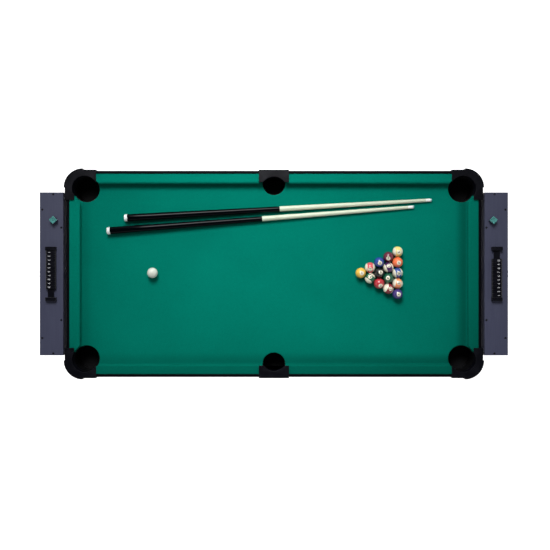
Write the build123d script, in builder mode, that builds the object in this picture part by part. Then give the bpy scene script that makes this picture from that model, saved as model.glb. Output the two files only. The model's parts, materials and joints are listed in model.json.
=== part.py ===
from build123d import *

import os
from math import radians, sqrt, tan

# Swivel pool table: a two-sided playing body that turns end over end about its long axis between
# two end consoles. Millimetres, +Z up, X along the table, origin on the floor under its centre.

# ---------------------------------------------------------------- playing body
body_length = 1621.0  # over the end aprons
body_width = 806.0  # over the side aprons
rail_top = 813.0  # height of the rails above the floor
body_depth = 190.0
body_bottom = rail_top - body_depth
pivot_height = rail_top - body_depth / 2
half_length = body_length / 2
half_width = body_width / 2

apron_thickness = 15.0
side_apron_lip = 11.0  # top edge that shows outside the long rails
end_apron_lip = 10.0  # top edge that shows outside the end rails
apron_top = rail_top - 2.0
apron_setback = 40.0  # apron ends, in from the square corner

rail_height = 32.0  # rail top above the cloth
cloth_thickness = 1.0
bed_thickness = 12.0
bed_joint = 0.4  # between the bed's boards
cloth_top = rail_top - rail_height
bed_top = cloth_top - cloth_thickness
bed_bottom = bed_top - bed_thickness
bed_half_length = half_length - apron_thickness
bed_half_width = half_width - apron_thickness

# ---------------------------------------------------------------- cushions
side_nose = 353.0  # cushion nose line of the long rails, from the centre
end_nose = 758.0  # cushion nose line of the end rails, from the centre
nose_height = 22.0
cushion_back_height = 28.0  # the top rises from here to the crown over the nose
cushion_crown_height = 31.6
cushion_crown_inset = 1.5
cushion_crown_radius = 8.0
cushion_nose_radius = 3.0
cushion_edge = 1.5
cushion_undercut = 14.0
jaw_angle = 43.0  # cut of a cushion at a corner pocket
side_jaw_angle = 78.0
side_nose_start = 60.0  # first point of a long cushion beside the side pocket
side_nose_finish = 684.0  # its last point, at the corner pocket
end_nose_half = 279.0  # half the nose line of an end cushion

# ---------------------------------------------------------------- pockets
hole_x = 739.0  # centre of a corner pocket
hole_y = 334.0
corner_hole_radius = 52.0
guard_x = 746.5  # centre of a corner guard's round
guard_y = 338.0
guard_radius = 74.0
guard_wall = 3.0
cap_thickness = 3.0
cap_arm_x = 694.5  # ends of a corner cap's two arms
cap_arm_y = 289.0
cap_inner_x = 779.5  # inner edges of the two arms
cap_inner_y = 358.5
cap_edge_x = half_length + 6.0  # outer edges of the two arms
cap_edge_y = half_width + 4.0
cap_skirt = 28.0
cap_wall_start = -30.0  # the pocket's back wall, as angles round the pocket
cap_wall_finish = 120.0
pocket_wall = 2.3
pocket_play = 0.3
pocket_rim = 772.0  # top of a cup; the cloth turns down into the pocket above it
pocket_floor = 690.0
side_hole_radius = 45.5
side_hole_centre = 355.8
side_hole_back = 383.0
side_cap_half = 59.0
side_cap_front = 358.0
side_cap_radius = 52.0
side_cap_centre = 327.7

# ---------------------------------------------------------------- glide hockey side
hockey_thickness = 9.0
hockey_face = body_bottom + 34.0
hockey_rail_width = 40.0
hockey_rail_bottom = body_bottom + 2.0
hockey_corner_radius = 60.0
goal_width = 280.0
goal_height = 22.0
goal_depth = 34.0
brace_thickness = 15.0
brace_places = (-550.0, -250.0, 250.0, 550.0)

# ---------------------------------------------------------------- end consoles
console_inner = 824.5
console_outer = 916.5
console_width = 638.0
console_top = 806.0
panel = 15.0
panel_chamfer = 0.8
console_panel_bottom = 60.0
console_middle = (console_inner + console_outer) / 2
foot_width = 90.0
foot_corner = 6.0
foot_chamfer = 4.0
screw_radius = 2.0
screw_head_radius = 4.3
screw_head_height = 2.6
screw_sunk = 0.2  # head below the shelf, and the room round it
screw_play = 0.1
screw_length = 38.0
end_screw = (console_inner + 39.0, (console_width - panel) / 2)
outer_screw = (console_outer - 10.0, 251.5)
inner_screw = (console_inner + panel / 2, 181.0)
screw_places = [
    (end * x, side * y)
    for x, y in (end_screw, outer_screw, inner_screw)
    for end in (-1, 1)
    for side in (-1, 1)
]
stretcher_width = 40.0
stretcher_bottom = 120.0
stretcher_top = 230.0
stretcher_corner = 3.0

# ---------------------------------------------------------------- pivot and its lock
shaft_radius = 12.5
shaft_end = 862.0
shaft_flange_radius = 40.0
shaft_flange = 4.0
shaft_bolt_circle = 30.0
shaft_bolts = 4
shaft_bolt_radius = 5.0  # over the corners of the hexagon head
shaft_bolt_height = 3.5
shaft_chamfer = 1.5
bush_radius = 17.0
bush_play = 0.05
bush_flange_radius = 22.0
bush_flange = 3.0
stud_radius = 6.0
stud_play = 0.3
knob_radius = 24.0
knob_lobe_radius = 7.0
knob_lobes = 6
knob_gap = 1.5
knob_depth = 20.0
knob_fillet = 2.5
pad_thickness = 7.0
pad_socket_radius = 4.3
pad_socket_depth = 4.5
pad_travel = 1.5  # one turn of the stud's thread
pad_gap = 0.05  # what is left of the gap at the end of that turn
stud_tip_radius = 4.0
stud_tip_gap = 0.4

# ---------------------------------------------------------------- bead scorers
scorer_x = 870.5
scorer_bracket_width = 42.0
scorer_bracket = 14.5
scorer_bracket_height = 15.0
scorer_bracket_corner = 2.0
scorer_bracket_chamfer = 1.0
scorer_half_length = 106.0
scorer_bar_width = 24.0
scorer_bar_height = 4.0
scorer_stem_width = 12.0
scorer_stem_height = 4.0
bead_count = 10
bead_pitch = 15.1
bead_length = 14.6
bead_width = 39.5
bead_height = 12.0
bead_top_chamfer = 3.0
bead_bottom_chamfer = 1.5
bead_lift = 0.8
bead_play = 0.4

# ---------------------------------------------------------------- balls, cues and chalk
ball_diameter = 41.3
ball_gap = 0.3
ball_lift = 0.3
rack_x = 340.5
rack_y = 4.0
rack_order = ((1,), (14, 11), (3, 8, 2), (15, 6, 12, 7), (4, 13, 10, 5, 9))
cue_ball_x = -476.0
cue_length = 1212.0
cue_butt_radius = 14.5
cue_tip_radius = 6.0
cue_joint = 611.0
cue_bumper = 13.0
cue_bumper_dome = 4.0
cue_ferrule = 25.0
cue_tip_dome = 3.0
cue_butt_ends = {"cue_a": (-587.5, 219.7), "cue_b": (-655.5, 168.8)}
cue_tip_ends = {"cue_a": (622.5, 291.0), "cue_b": (553.0, 264.0)}
cue_clearance = 0.3
chalk_side = 22.0
chalk_dimple = 3.0
chalk_dimple_radius = 9.8
chalk_edge = 0.6
chalk_lift = 0.1
chalks = {"chalk_a": (-859.0, 210.0, 42.0), "chalk_b": (854.5, 209.0, 50.0)}


def write(part, label):
    """Labels a finished piece and writes it as its own STEP file."""
    part.label = label
    export_step(part, f"parts/{label}.step")


# ================================================================ playing body


def apron_outline(face, lip_width):
    """Section of an apron whose outer face stands at face, with the rabbet that carries the rail."""
    lip = face - lip_width
    inner = face - apron_thickness
    return [
        (face, body_bottom),
        (face, apron_top),
        (lip, apron_top),
        (lip, cloth_top),
        (inner, cloth_top),
        (inner, body_bottom),
    ]


def side_aprons():
    """The two long boards of the body's box."""
    with BuildPart() as aprons:
        with BuildSketch(Plane.YZ):
            with BuildLine():
                Polyline(*apron_outline(half_width, side_apron_lip), close=True)
            make_face()
        extrude(amount=half_length - apron_setback, both=True)
        mirror(about=Plane.XZ)
    return aprons.part


def end_aprons():
    """The two short boards of the body's box, which carry the trunnions."""
    with BuildPart() as aprons:
        with BuildSketch(Plane.XZ):
            with BuildLine():
                Polyline(*apron_outline(half_length, end_apron_lip), close=True)
            make_face()
        extrude(amount=half_width - apron_setback, both=True)
        mirror(about=Plane.YZ)
    return aprons.part


def cut_pockets():
    """Takes the six pockets' outlines out of a sketch of the bed."""
    notch_x = bed_half_length - hole_x
    notch_y = bed_half_width - hole_y
    with GridLocations(2 * hole_x, 2 * hole_y, 2, 2):
        Circle(corner_hole_radius, mode=Mode.SUBTRACT)
    with GridLocations(2 * hole_x + notch_x, 2 * hole_y + notch_y, 2, 2):
        Rectangle(notch_x, notch_y, mode=Mode.SUBTRACT)
    with GridLocations(0, 2 * side_hole_centre, 1, 2):
        Circle(side_hole_radius, mode=Mode.SUBTRACT)


def pool_bed():
    """The bed's boards: a plain one in the middle and four beside it that go round the pockets."""
    middle = hole_y - corner_hole_radius - bed_joint
    board_length = bed_half_length - bed_joint / 2
    board_width = bed_half_width - middle - bed_joint
    with BuildPart() as boards:
        with BuildSketch(Plane.XY.offset(bed_bottom)):
            with GridLocations(board_length + bed_joint, 2 * bed_half_width - board_width, 2, 2):
                Rectangle(board_length, board_width)
            cut_pockets()
            Rectangle(2 * bed_half_length, 2 * middle)
        extrude(amount=bed_thickness)
    return boards.part


def pool_cloth():
    """The cloth over the bed, cut away round the pockets."""
    with BuildPart() as cloth:
        with BuildSketch(Plane.XY.offset(bed_top)):
            Rectangle(2 * bed_half_length, 2 * bed_half_width)
            cut_pockets()
        extrude(amount=cloth_thickness)
    return cloth.part


def cushion_curve(back, nose):
    """Section of a rail and its rubber: flat back, top rising to a round crown, nose and undercut."""
    crown = cloth_top + cushion_crown_height
    points = [
        (back, cloth_top),
        (back, cloth_top + cushion_back_height),
        (nose + cushion_crown_inset, crown),
        (nose, cloth_top + nose_height),
        (nose + cushion_undercut, cloth_top),
    ]
    radii = [0, cushion_edge, cushion_crown_radius, cushion_nose_radius, 0]
    FilletPolyline(*points, radius=radii, close=True)


def long_cushions():
    """The four rails of the long sides, one each side of each side pocket."""
    back = half_width - side_apron_lip
    width = back - side_nose
    start_back = side_nose_start - width / tan(radians(side_jaw_angle))
    finish_back = side_nose_finish + width / tan(radians(jaw_angle))
    with BuildPart() as cushions:
        with BuildSketch(Plane.YZ):
            with BuildLine():
                cushion_curve(back, side_nose)
            make_face()
        extrude(amount=half_length)
        with BuildSketch(Plane.XY.offset(cloth_top)):
            with BuildLine():
                Polyline(
                    (side_nose_start, side_nose),
                    (start_back, back),
                    (finish_back, back),
                    (side_nose_finish, side_nose),
                    close=True,
                )
            make_face()
        extrude(amount=rail_height, mode=Mode.INTERSECT)
        mirror(about=Plane.YZ)
        mirror(about=Plane.XZ)
    return cushions.part


def end_cushions():
    """The two end rails, each between two corner pockets."""
    back = half_length - end_apron_lip
    back_half = end_nose_half + (back - end_nose) / tan(radians(jaw_angle))
    with BuildPart() as cushions:
        with BuildSketch(Plane.XZ):
            with BuildLine():
                cushion_curve(back, end_nose)
            make_face()
        extrude(amount=half_width, both=True)
        with BuildSketch(Plane.XY.offset(cloth_top)):
            with BuildLine():
                Polyline(
                    (end_nose, -end_nose_half),
                    (end_nose, end_nose_half),
                    (back, back_half),
                    (back, -back_half),
                    close=True,
                )
            make_face()
        extrude(amount=rail_height, mode=Mode.INTERSECT)
        mirror(about=Plane.YZ)
    return cushions.part


def corner_caps():
    """Four moulded corner pieces: top plate, outer skirts, pocket back wall and rounded corner guard."""
    hole = (hole_x, hole_y)
    wall_outer = corner_hole_radius - pocket_play
    wall_inner = wall_outer - pocket_wall
    wall_bottom = pocket_rim + pocket_play
    with BuildPart() as caps:
        with BuildSketch(Plane.XY.offset(rail_top)):
            with BuildLine():
                Polyline(
                    (guard_x, guard_y + guard_radius),
                    (guard_x, cap_edge_y),
                    (cap_arm_x, cap_edge_y),
                    (cap_arm_x, cap_inner_y),
                    (hole_x, cap_inner_y),
                    hole,
                    (cap_inner_x, hole_y),
                    (cap_inner_x, cap_arm_y),
                    (cap_edge_x, cap_arm_y),
                    (cap_edge_x, guard_y),
                    (guard_x + guard_radius, guard_y),
                )
                CenterArc((guard_x, guard_y), guard_radius, 0, 90)
            make_face()
            with Locations(hole):
                Circle(wall_inner, mode=Mode.SUBTRACT)
        extrude(amount=cap_thickness)
        with BuildSketch(Plane.XY.offset(rail_top)):
            with Locations(((cap_arm_x + guard_x) / 2, (half_width + cap_edge_y) / 2)):
                Rectangle(guard_x - cap_arm_x, cap_edge_y - half_width)
            with Locations(((half_length + cap_edge_x) / 2, (cap_arm_y + guard_y) / 2)):
                Rectangle(cap_edge_x - half_length, guard_y - cap_arm_y)
        extrude(amount=-cap_skirt)
        with BuildSketch(Plane.XY.offset(wall_bottom)):
            with BuildLine():
                face = CenterArc(hole, wall_inner, cap_wall_start, cap_wall_finish - cap_wall_start)
                back = CenterArc(hole, wall_outer, cap_wall_start, cap_wall_finish - cap_wall_start)
                Line(face @ 0, back @ 0)
                Line(face @ 1, back @ 1)
            make_face()
        extrude(amount=rail_top - wall_bottom)
        with BuildSketch(Plane.XY.offset(body_bottom)):
            with BuildLine():
                outer = CenterArc((guard_x, guard_y), guard_radius, 0, 90)
                inner = CenterArc((guard_x, guard_y), guard_radius - guard_wall, 0, 90)
                Line(outer @ 0, inner @ 0)
                Line(outer @ 1, inner @ 1)
            make_face()
            web_x = guard_x + guard_radius - half_length - guard_wall / 2
            web_y = guard_y + guard_radius - half_width - guard_wall / 2
            with Locations((half_length + web_x / 2, guard_y + guard_wall / 2)):
                Rectangle(web_x, guard_wall)
            with Locations((guard_x + guard_wall / 2, half_width + web_y / 2)):
                Rectangle(guard_wall, web_y)
        extrude(amount=body_depth)
        with BuildSketch(Plane.XY.offset(body_bottom)):
            with BuildLine():
                rim = CenterArc((guard_x, guard_y), guard_radius, 0, 90)
                Polyline(rim @ 0, (guard_x, guard_y), rim @ 1)
            make_face()
            Rectangle(2 * bed_half_length, 2 * bed_half_width, mode=Mode.SUBTRACT)
            Rectangle(2 * (half_length - apron_setback), body_width, mode=Mode.SUBTRACT)
            Rectangle(body_length, 2 * (half_width - apron_setback), mode=Mode.SUBTRACT)
        extrude(amount=guard_wall)
        mirror(about=Plane.YZ)
        mirror(about=Plane.XZ)
    return caps.part


def side_caps():
    """Two moulded side pieces: top plate, skirt and pocket back wall."""
    ring = side_cap_radius + pocket_wall
    wall_bottom = pocket_rim + pocket_play
    with BuildPart() as caps:
        with BuildSketch(Plane.XY.offset(rail_top)):
            with Locations((0, (side_cap_front + cap_edge_y) / 2)):
                Rectangle(2 * side_cap_half, cap_edge_y - side_cap_front)
            with Locations((0, side_cap_centre)):
                Circle(side_cap_radius, mode=Mode.SUBTRACT)
        extrude(amount=cap_thickness)
        with BuildSketch(Plane.XY.offset(rail_top)):
            with Locations((0, (half_width + cap_edge_y) / 2)):
                Rectangle(2 * side_cap_half, cap_edge_y - half_width)
        extrude(amount=-cap_skirt)
        with BuildSketch(Plane.XY.offset(wall_bottom)):
            with Locations((0, side_cap_centre)):
                Circle(ring)
                Circle(side_cap_radius, mode=Mode.SUBTRACT)
            with Locations((0, side_cap_front - ring)):
                Rectangle(2 * ring, 2 * ring, mode=Mode.SUBTRACT)
        extrude(amount=rail_top - wall_bottom)
        mirror(about=Plane.XZ)
    return caps.part


def pocket_cups():
    """Six drop pockets: four round corner cups and two side cups with a flat back."""
    corner_radius = corner_hole_radius - pocket_play
    side_radius = side_hole_radius - pocket_play
    side_back = side_hole_back - pocket_play
    depth = pocket_rim - pocket_floor
    with BuildPart() as cups:
        with BuildSketch(Plane.XY.offset(pocket_floor)):
            with GridLocations(2 * hole_x, 2 * hole_y, 2, 2):
                Circle(corner_radius)
        extrude(amount=depth)
        with BuildSketch(Plane.XY.offset(pocket_floor + pocket_wall)):
            with GridLocations(2 * hole_x, 2 * hole_y, 2, 2):
                Circle(corner_radius - pocket_wall)
        extrude(amount=depth, mode=Mode.SUBTRACT)
        for side in (-1, 1):
            with BuildSketch(Plane.XY.offset(pocket_floor)):
                with Locations((0, side * side_hole_centre)):
                    Circle(side_radius)
                with Locations((0, side * (side_back + side_radius))):
                    Rectangle(2 * side_radius, 2 * side_radius, mode=Mode.SUBTRACT)
            extrude(amount=depth)
            with BuildSketch(Plane.XY.offset(pocket_floor + pocket_wall)):
                with Locations((0, side * side_hole_centre)):
                    Circle(side_radius - pocket_wall)
                with Locations((0, side * (side_back - pocket_wall + side_radius))):
                    Rectangle(2 * side_radius, 2 * side_radius, mode=Mode.SUBTRACT)
            extrude(amount=depth, mode=Mode.SUBTRACT)
    return cups.part


def inner_braces():
    """Four cross boards that tie the two playing boards together inside the aprons."""
    height = bed_bottom - hockey_face - hockey_thickness
    with BuildPart() as braces:
        with Locations([(x, 0, hockey_face + hockey_thickness) for x in brace_places]):
            Box(
                brace_thickness,
                2 * bed_half_width,
                height,
                align=(Align.CENTER, Align.CENTER, Align.MIN),
            )
    return braces.part


def hockey_board():
    """The under side's playing board, which fills the aprons."""
    with BuildPart() as board:
        with BuildSketch(Plane.XY.offset(hockey_face)):
            Rectangle(2 * bed_half_length, 2 * bed_half_width)
        extrude(amount=hockey_thickness)
    return board.part


def hockey_rails():
    """Four straight rails and four rounded corner blocks; each end rail has a goal recess."""
    height = hockey_face - hockey_rail_bottom
    rail_x = bed_half_length - hockey_rail_width / 2
    rail_y = bed_half_width - hockey_rail_width / 2
    inner_x = bed_half_length - hockey_rail_width
    inner_y = bed_half_width - hockey_rail_width
    goal_x = inner_x + goal_depth / 2
    block = hockey_corner_radius
    with BuildPart() as rails:
        with BuildSketch(Plane.XY.offset(hockey_rail_bottom)):
            with GridLocations(0, 2 * rail_y, 1, 2):
                Rectangle(2 * bed_half_length, hockey_rail_width)
        extrude(amount=height)
        with BuildSketch(Plane.XY.offset(hockey_rail_bottom)):
            with GridLocations(2 * rail_x, 0, 2, 1):
                Rectangle(hockey_rail_width, 2 * inner_y)
        extrude(amount=height, mode=Mode.ADD)
        with BuildSketch(Plane.XY.offset(hockey_rail_bottom)):
            with GridLocations(2 * inner_x - block, 2 * inner_y - block, 2, 2):
                Rectangle(block, block)
            with GridLocations(2 * (inner_x - block), 2 * (inner_y - block), 2, 2):
                Circle(block, mode=Mode.SUBTRACT)
        extrude(amount=height)
        with BuildSketch(Plane.XY.offset(hockey_face - goal_height)):
            with GridLocations(2 * goal_x, 0, 2, 1):
                Rectangle(goal_depth, goal_width)
        extrude(amount=goal_height, mode=Mode.SUBTRACT)
    return rails.part


def pivot_shafts():
    """The two steel trunnions: a flange bolted to each end apron and the shaft it carries."""
    with BuildPart() as shafts:
        with BuildSketch(Plane.YZ.offset(half_length)):
            with Locations((0, pivot_height)):
                Circle(shaft_flange_radius)
        extrude(amount=shaft_flange)
        with BuildSketch(Plane.YZ.offset(half_length)):
            with Locations((0, pivot_height)):
                Circle(shaft_radius)
        extrude(amount=shaft_end - half_length)
        with BuildSketch(Plane.YZ.offset(half_length + shaft_flange)):
            with Locations((0, pivot_height)):
                with PolarLocations(shaft_bolt_circle, shaft_bolts, start_angle=180 / shaft_bolts):
                    RegularPolygon(shaft_bolt_radius, 6)
        extrude(amount=shaft_bolt_height)
        chamfer(shafts.faces().sort_by(Axis.X)[-1].edges(), shaft_chamfer)
        mirror(about=Plane.YZ)
    return shafts.part


# ================================================================ end consoles


def drill_pilots():
    """Pilot holes for the shelf screws, cut in whatever board stands under them."""
    with Locations([(x, y, console_top - panel) for x, y in screw_places]):
        Cylinder(
            screw_radius,
            screw_length,
            align=(Align.CENTER, Align.CENTER, Align.MAX),
            mode=Mode.SUBTRACT,
        )


def console_top_board(side):
    """The shelf on a console, with six countersunk screw holes."""
    with BuildPart() as board:
        with BuildSketch(Plane.XY.offset(console_top - panel)):
            with Locations((side * console_middle, 0)):
                Rectangle(console_outer - console_inner, console_width)
        extrude(amount=panel)
        chamfer(board.faces().sort_by(Axis.Z)[-1].edges(), panel_chamfer)
        with Locations([(x, y, console_top) for x, y in screw_places if x * side > 0]):
            CounterSinkHole(screw_radius, screw_head_radius + screw_sunk)
    return board.part


def console_outer_board(side):
    """A console's outer board, bored for the lock's stud."""
    with BuildPart() as board:
        with BuildSketch(Plane.YZ.offset(side * (console_outer - panel / 2))):
            with Locations((0, (console_panel_bottom + console_top - panel) / 2)):
                Rectangle(console_width, console_top - panel - console_panel_bottom)
            with Locations((0, pivot_height)):
                Circle(stud_radius + stud_play, mode=Mode.SUBTRACT)
        extrude(amount=panel / 2, both=True)
        outer_face = board.faces().sort_by(Axis.X)[-1 if side > 0 else 0]
        chamfer(outer_face.edges().filter_by(GeomType.LINE), panel_chamfer)
        drill_pilots()
    return board.part


def console_inner_board(side):
    """A console's inner board, bored for the trunnion's bush."""
    with BuildPart() as board:
        with BuildSketch(Plane.YZ.offset(side * (console_inner + panel / 2))):
            with Locations((0, (console_panel_bottom + console_top - panel) / 2)):
                Rectangle(console_width, console_top - panel - console_panel_bottom)
            with Locations((0, pivot_height)):
                Circle(bush_radius, mode=Mode.SUBTRACT)
        extrude(amount=panel / 2, both=True)
        drill_pilots()
    return board.part


def console_sides():
    """Four narrow boards that close the consoles at their ends."""
    depth = console_outer - console_inner - 2 * panel
    height = console_top - panel - console_panel_bottom
    with BuildPart() as sides:
        with BuildSketch(Plane.XY.offset(console_panel_bottom)):
            with GridLocations(2 * console_middle, console_width - panel, 2, 2):
                Rectangle(depth, panel)
        extrude(amount=height)
        drill_pilots()
    return sides.part


def console_feet():
    """Four moulded feet under the consoles, with rounded corners and a chamfered sole."""
    with BuildPart() as feet:
        with BuildSketch(Plane.XY):
            with GridLocations(2 * console_middle, console_width - foot_width, 2, 2):
                RectangleRounded(console_outer - console_inner, foot_width, foot_corner)
        extrude(amount=console_panel_bottom)
        chamfer(feet.edges().group_by(Axis.Z)[0], foot_chamfer)
    return feet.part


def screws():
    """The twelve countersunk screws that hold the console shelves down."""
    head_bottom = console_top - screw_head_height
    with BuildPart() as all_screws:
        with Locations([(x, y, head_bottom) for x, y in screw_places]):
            Cone(
                screw_radius,
                screw_head_radius,
                screw_head_height - screw_sunk,
                align=(Align.CENTER, Align.CENTER, Align.MIN),
            )
            Cylinder(
                screw_radius - screw_play,
                screw_length,
                align=(Align.CENTER, Align.CENTER, Align.MAX),
            )
    return all_screws.part


def stretcher():
    """The floor-side beam that ties the two consoles together."""
    with BuildPart() as beam:
        with BuildSketch(Plane.YZ):
            with Locations((0, (stretcher_bottom + stretcher_top) / 2)):
                RectangleRounded(stretcher_width, stretcher_top - stretcher_bottom, stretcher_corner)
        extrude(amount=console_inner, both=True)
    return beam.part


def pivot_bushes():
    """Flanged plastic bushes in the inner boards, in which the trunnions turn."""
    with BuildPart() as bushes:
        with BuildSketch(Plane.YZ.offset(console_inner - bush_flange)):
            with Locations((0, pivot_height)):
                Circle(bush_flange_radius)
                Circle(shaft_radius + bush_play, mode=Mode.SUBTRACT)
        extrude(amount=bush_flange)
        with BuildSketch(Plane.YZ.offset(console_inner)):
            with Locations((0, pivot_height)):
                Circle(bush_radius)
                Circle(shaft_radius + bush_play, mode=Mode.SUBTRACT)
        extrude(amount=panel + bush_flange)
        mirror(about=Plane.YZ)
    return bushes.part


def lock_knob(side):
    """A lobed hand knob on a stud that drives the clamp pad against the trunnion's end."""
    knob_start = console_outer + knob_gap
    pad_outer = shaft_end + pad_travel + pad_gap + pad_thickness
    tip_start = pad_outer - pad_socket_depth + stud_tip_gap
    with BuildPart() as knob:
        with BuildSketch(Plane.YZ.offset(knob_start)):
            with Locations((0, pivot_height)):
                Circle(knob_radius - knob_lobe_radius)
                with PolarLocations(knob_radius - knob_lobe_radius, knob_lobes):
                    Circle(knob_lobe_radius)
        extrude(amount=knob_depth)
        fillet(knob.faces().sort_by(Axis.X)[-1].edges(), knob_fillet)
        with BuildSketch(Plane.YZ.offset(pad_outer + stud_tip_gap)):
            with Locations((0, pivot_height)):
                Circle(stud_radius)
        extrude(amount=knob_start - pad_outer - stud_tip_gap)
        with BuildSketch(Plane.YZ.offset(tip_start)):
            with Locations((0, pivot_height)):
                Circle(stud_tip_radius)
        extrude(amount=pad_outer + stud_tip_gap - tip_start)
        if side < 0:
            mirror(about=Plane.YZ, mode=Mode.REPLACE)
    return knob.part


def clamp_pad(side):
    """A round pad, with a socket for the stud's tip, that presses on the trunnion's end."""
    pad_start = shaft_end + pad_travel + pad_gap
    with BuildPart() as pad:
        with BuildSketch(Plane.YZ.offset(pad_start)):
            with Locations((0, pivot_height)):
                Circle(shaft_radius)
        extrude(amount=pad_thickness)
        with BuildSketch(Plane.YZ.offset(pad_start + pad_thickness - pad_socket_depth)):
            with Locations((0, pivot_height)):
                Circle(pad_socket_radius)
        extrude(amount=pad_socket_depth, mode=Mode.SUBTRACT)
        if side < 0:
            mirror(about=Plane.YZ, mode=Mode.REPLACE)
    return pad.part


# ================================================================ scorers


def scorer_rail(side):
    """A T bar between two brackets; the beads clip round the bar's head."""
    with BuildPart() as rail:
        with Locations((side * scorer_x, 0, console_top)):
            Box(
                scorer_stem_width,
                2 * scorer_half_length,
                scorer_stem_height,
                align=(Align.CENTER, Align.CENTER, Align.MIN),
            )
        with Locations((side * scorer_x, 0, console_top + scorer_stem_height)):
            Box(
                scorer_bar_width,
                2 * scorer_half_length,
                scorer_bar_height,
                align=(Align.CENTER, Align.CENTER, Align.MIN),
            )
        with BuildSketch(Plane.XY.offset(console_top)):
            with Locations((side * scorer_x, 0)):
                with GridLocations(0, 2 * scorer_half_length - scorer_bracket, 1, 2):
                    RectangleRounded(scorer_bracket_width, scorer_bracket, scorer_bracket_corner)
        extrude(amount=scorer_bracket_height)
        chamfer(rail.faces().sort_by(Axis.Z)[-1].edges(), scorer_bracket_chamfer)
    return rail.part


def scorer_beads(side, places):
    """Beads pushed together against one bracket, each a channel that wraps the bar."""
    bar_bottom = console_top + scorer_stem_height
    bar_top = bar_bottom + scorer_bar_height
    bottom = console_top + bead_lift
    top = bottom + bead_height
    half = bead_width / 2
    slot = scorer_bar_width / 2 + bead_play
    neck = scorer_stem_width / 2 + bead_play
    first = scorer_half_length - scorer_bracket - bead_pitch / 2
    outline = [
        (half, bottom + bead_bottom_chamfer),
        (half, top - bead_top_chamfer),
        (half - bead_top_chamfer, top),
        (-half + bead_top_chamfer, top),
        (-half, top - bead_top_chamfer),
        (-half, bottom + bead_bottom_chamfer),
        (-half + bead_bottom_chamfer, bottom),
        (-neck, bottom),
        (-neck, bar_bottom - bead_play),
        (-slot, bar_bottom - bead_play),
        (-slot, bar_top + bead_play),
        (slot, bar_top + bead_play),
        (slot, bar_bottom - bead_play),
        (neck, bar_bottom - bead_play),
        (neck, bottom),
        (half - bead_bottom_chamfer, bottom),
    ]
    with BuildPart() as beads:
        for place in places:
            middle = -side * (first - place * bead_pitch)
            with BuildSketch(Plane.XZ.offset(-middle)):
                with BuildLine():
                    Polyline(*[(side * scorer_x + x, z) for x, z in outline], close=True)
                make_face()
            extrude(amount=bead_length / 2, both=True)
    return beads.part


# ================================================================ balls, cues and chalk


def ball(x, y):
    """A ball standing on the cloth."""
    radius = ball_diameter / 2
    with BuildPart() as sphere:
        with Locations((x, y, cloth_top + ball_lift + radius)):
            Sphere(radius)
    return sphere.part


def rack_places():
    """Ball number and place for each ball of the triangle, apex first."""
    pitch = ball_diameter + ball_gap
    for row, numbers in enumerate(rack_order):
        for place, number in enumerate(numbers):
            yield number, rack_x + row * pitch * sqrt(3) / 2, rack_y + (place - row / 2) * pitch


def cue_plane(name):
    """A plane at the butt end of a lying cue whose normal runs along the cue to its tip."""
    butt, tip = cue_butt_ends[name], cue_tip_ends[name]
    heading = Vector(tip[0] - butt[0], tip[1] - butt[1], 0).normalized()
    drop = cue_butt_radius - cue_tip_radius
    along = sqrt(cue_length**2 - drop**2)
    start = Vector(butt[0], butt[1], cloth_top + cue_clearance + cue_butt_radius)
    direction = heading * along + Vector(0, 0, -drop)
    return Plane(origin=start, z_dir=direction)


def cue_radius(distance):
    """A cue's radius at a distance from its butt end."""
    return cue_butt_radius + (cue_tip_radius - cue_butt_radius) * distance / cue_length


def cue_piece(name, start, finish, dome=0.0):
    """The stretch of a cue from start to finish, with its outer end rounded by dome."""
    with BuildPart(cue_plane(name)) as piece:
        with BuildSketch(cue_plane(name).offset(start)):
            Circle(cue_radius(start))
        with BuildSketch(cue_plane(name).offset(finish)):
            Circle(cue_radius(finish))
        loft()
        if dome:
            ends = piece.edges().filter_by(GeomType.CIRCLE).sort_by(lambda e: e.radius)
            fillet(ends[-1 if start == 0 else 0], dome)
    return piece.part


def chalk_cube(x, y, turn):
    """A cube of chalk with a worn dimple in its top face."""
    sphere_radius = (chalk_dimple_radius**2 + chalk_dimple**2) / (2 * chalk_dimple)
    with BuildPart() as cube:
        with Locations(Location((x, y, console_top + chalk_lift), (0, 0, turn))):
            Box(chalk_side, chalk_side, chalk_side, align=(Align.CENTER, Align.CENTER, Align.MIN))
        chamfer(cube.edges(), chalk_edge)
        with Locations((x, y, console_top + chalk_side + sphere_radius - chalk_dimple)):
            Sphere(sphere_radius, mode=Mode.SUBTRACT)
    return cube.part


os.makedirs("parts", exist_ok=True)

write(side_aprons(), "side_aprons")
write(end_aprons(), "end_aprons")
write(pool_bed(), "pool_bed")
write(pool_cloth(), "pool_cloth")
write(long_cushions(), "long_cushions")
write(end_cushions(), "end_cushions")
write(corner_caps(), "corner_caps")
write(side_caps(), "side_caps")
write(pocket_cups(), "pocket_cups")
write(inner_braces(), "inner_braces")
write(hockey_board(), "hockey_board")
write(hockey_rails(), "hockey_rails")
write(pivot_shafts(), "pivot_shafts")

for side, name in ((-1, "left"), (1, "right")):
    write(console_top_board(side), f"{name}_console_shelf")
    write(console_outer_board(side), f"{name}_console_outer_panel")
    write(console_inner_board(side), f"{name}_console_inner_panel")
    write(lock_knob(side), f"{name}_lock_knob")
    write(clamp_pad(side), f"{name}_clamp_pad")
    write(scorer_rail(side), f"{name}_scorer_rail")
    write(scorer_beads(side, range(bead_count - 1)), f"{name}_scorer_beads")
    write(scorer_beads(side, [bead_count - 1]), f"{name}_last_bead")
write(console_sides(), "console_end_boards")
write(console_feet(), "console_feet")
write(screws(), "console_screws")
write(stretcher(), "stretcher_beam")
write(pivot_bushes(), "pivot_bushes")

for number, x, y in rack_places():
    write(ball(x, y), f"ball_{number:02d}")
write(ball(cue_ball_x, rack_y), "cue_ball")

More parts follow.
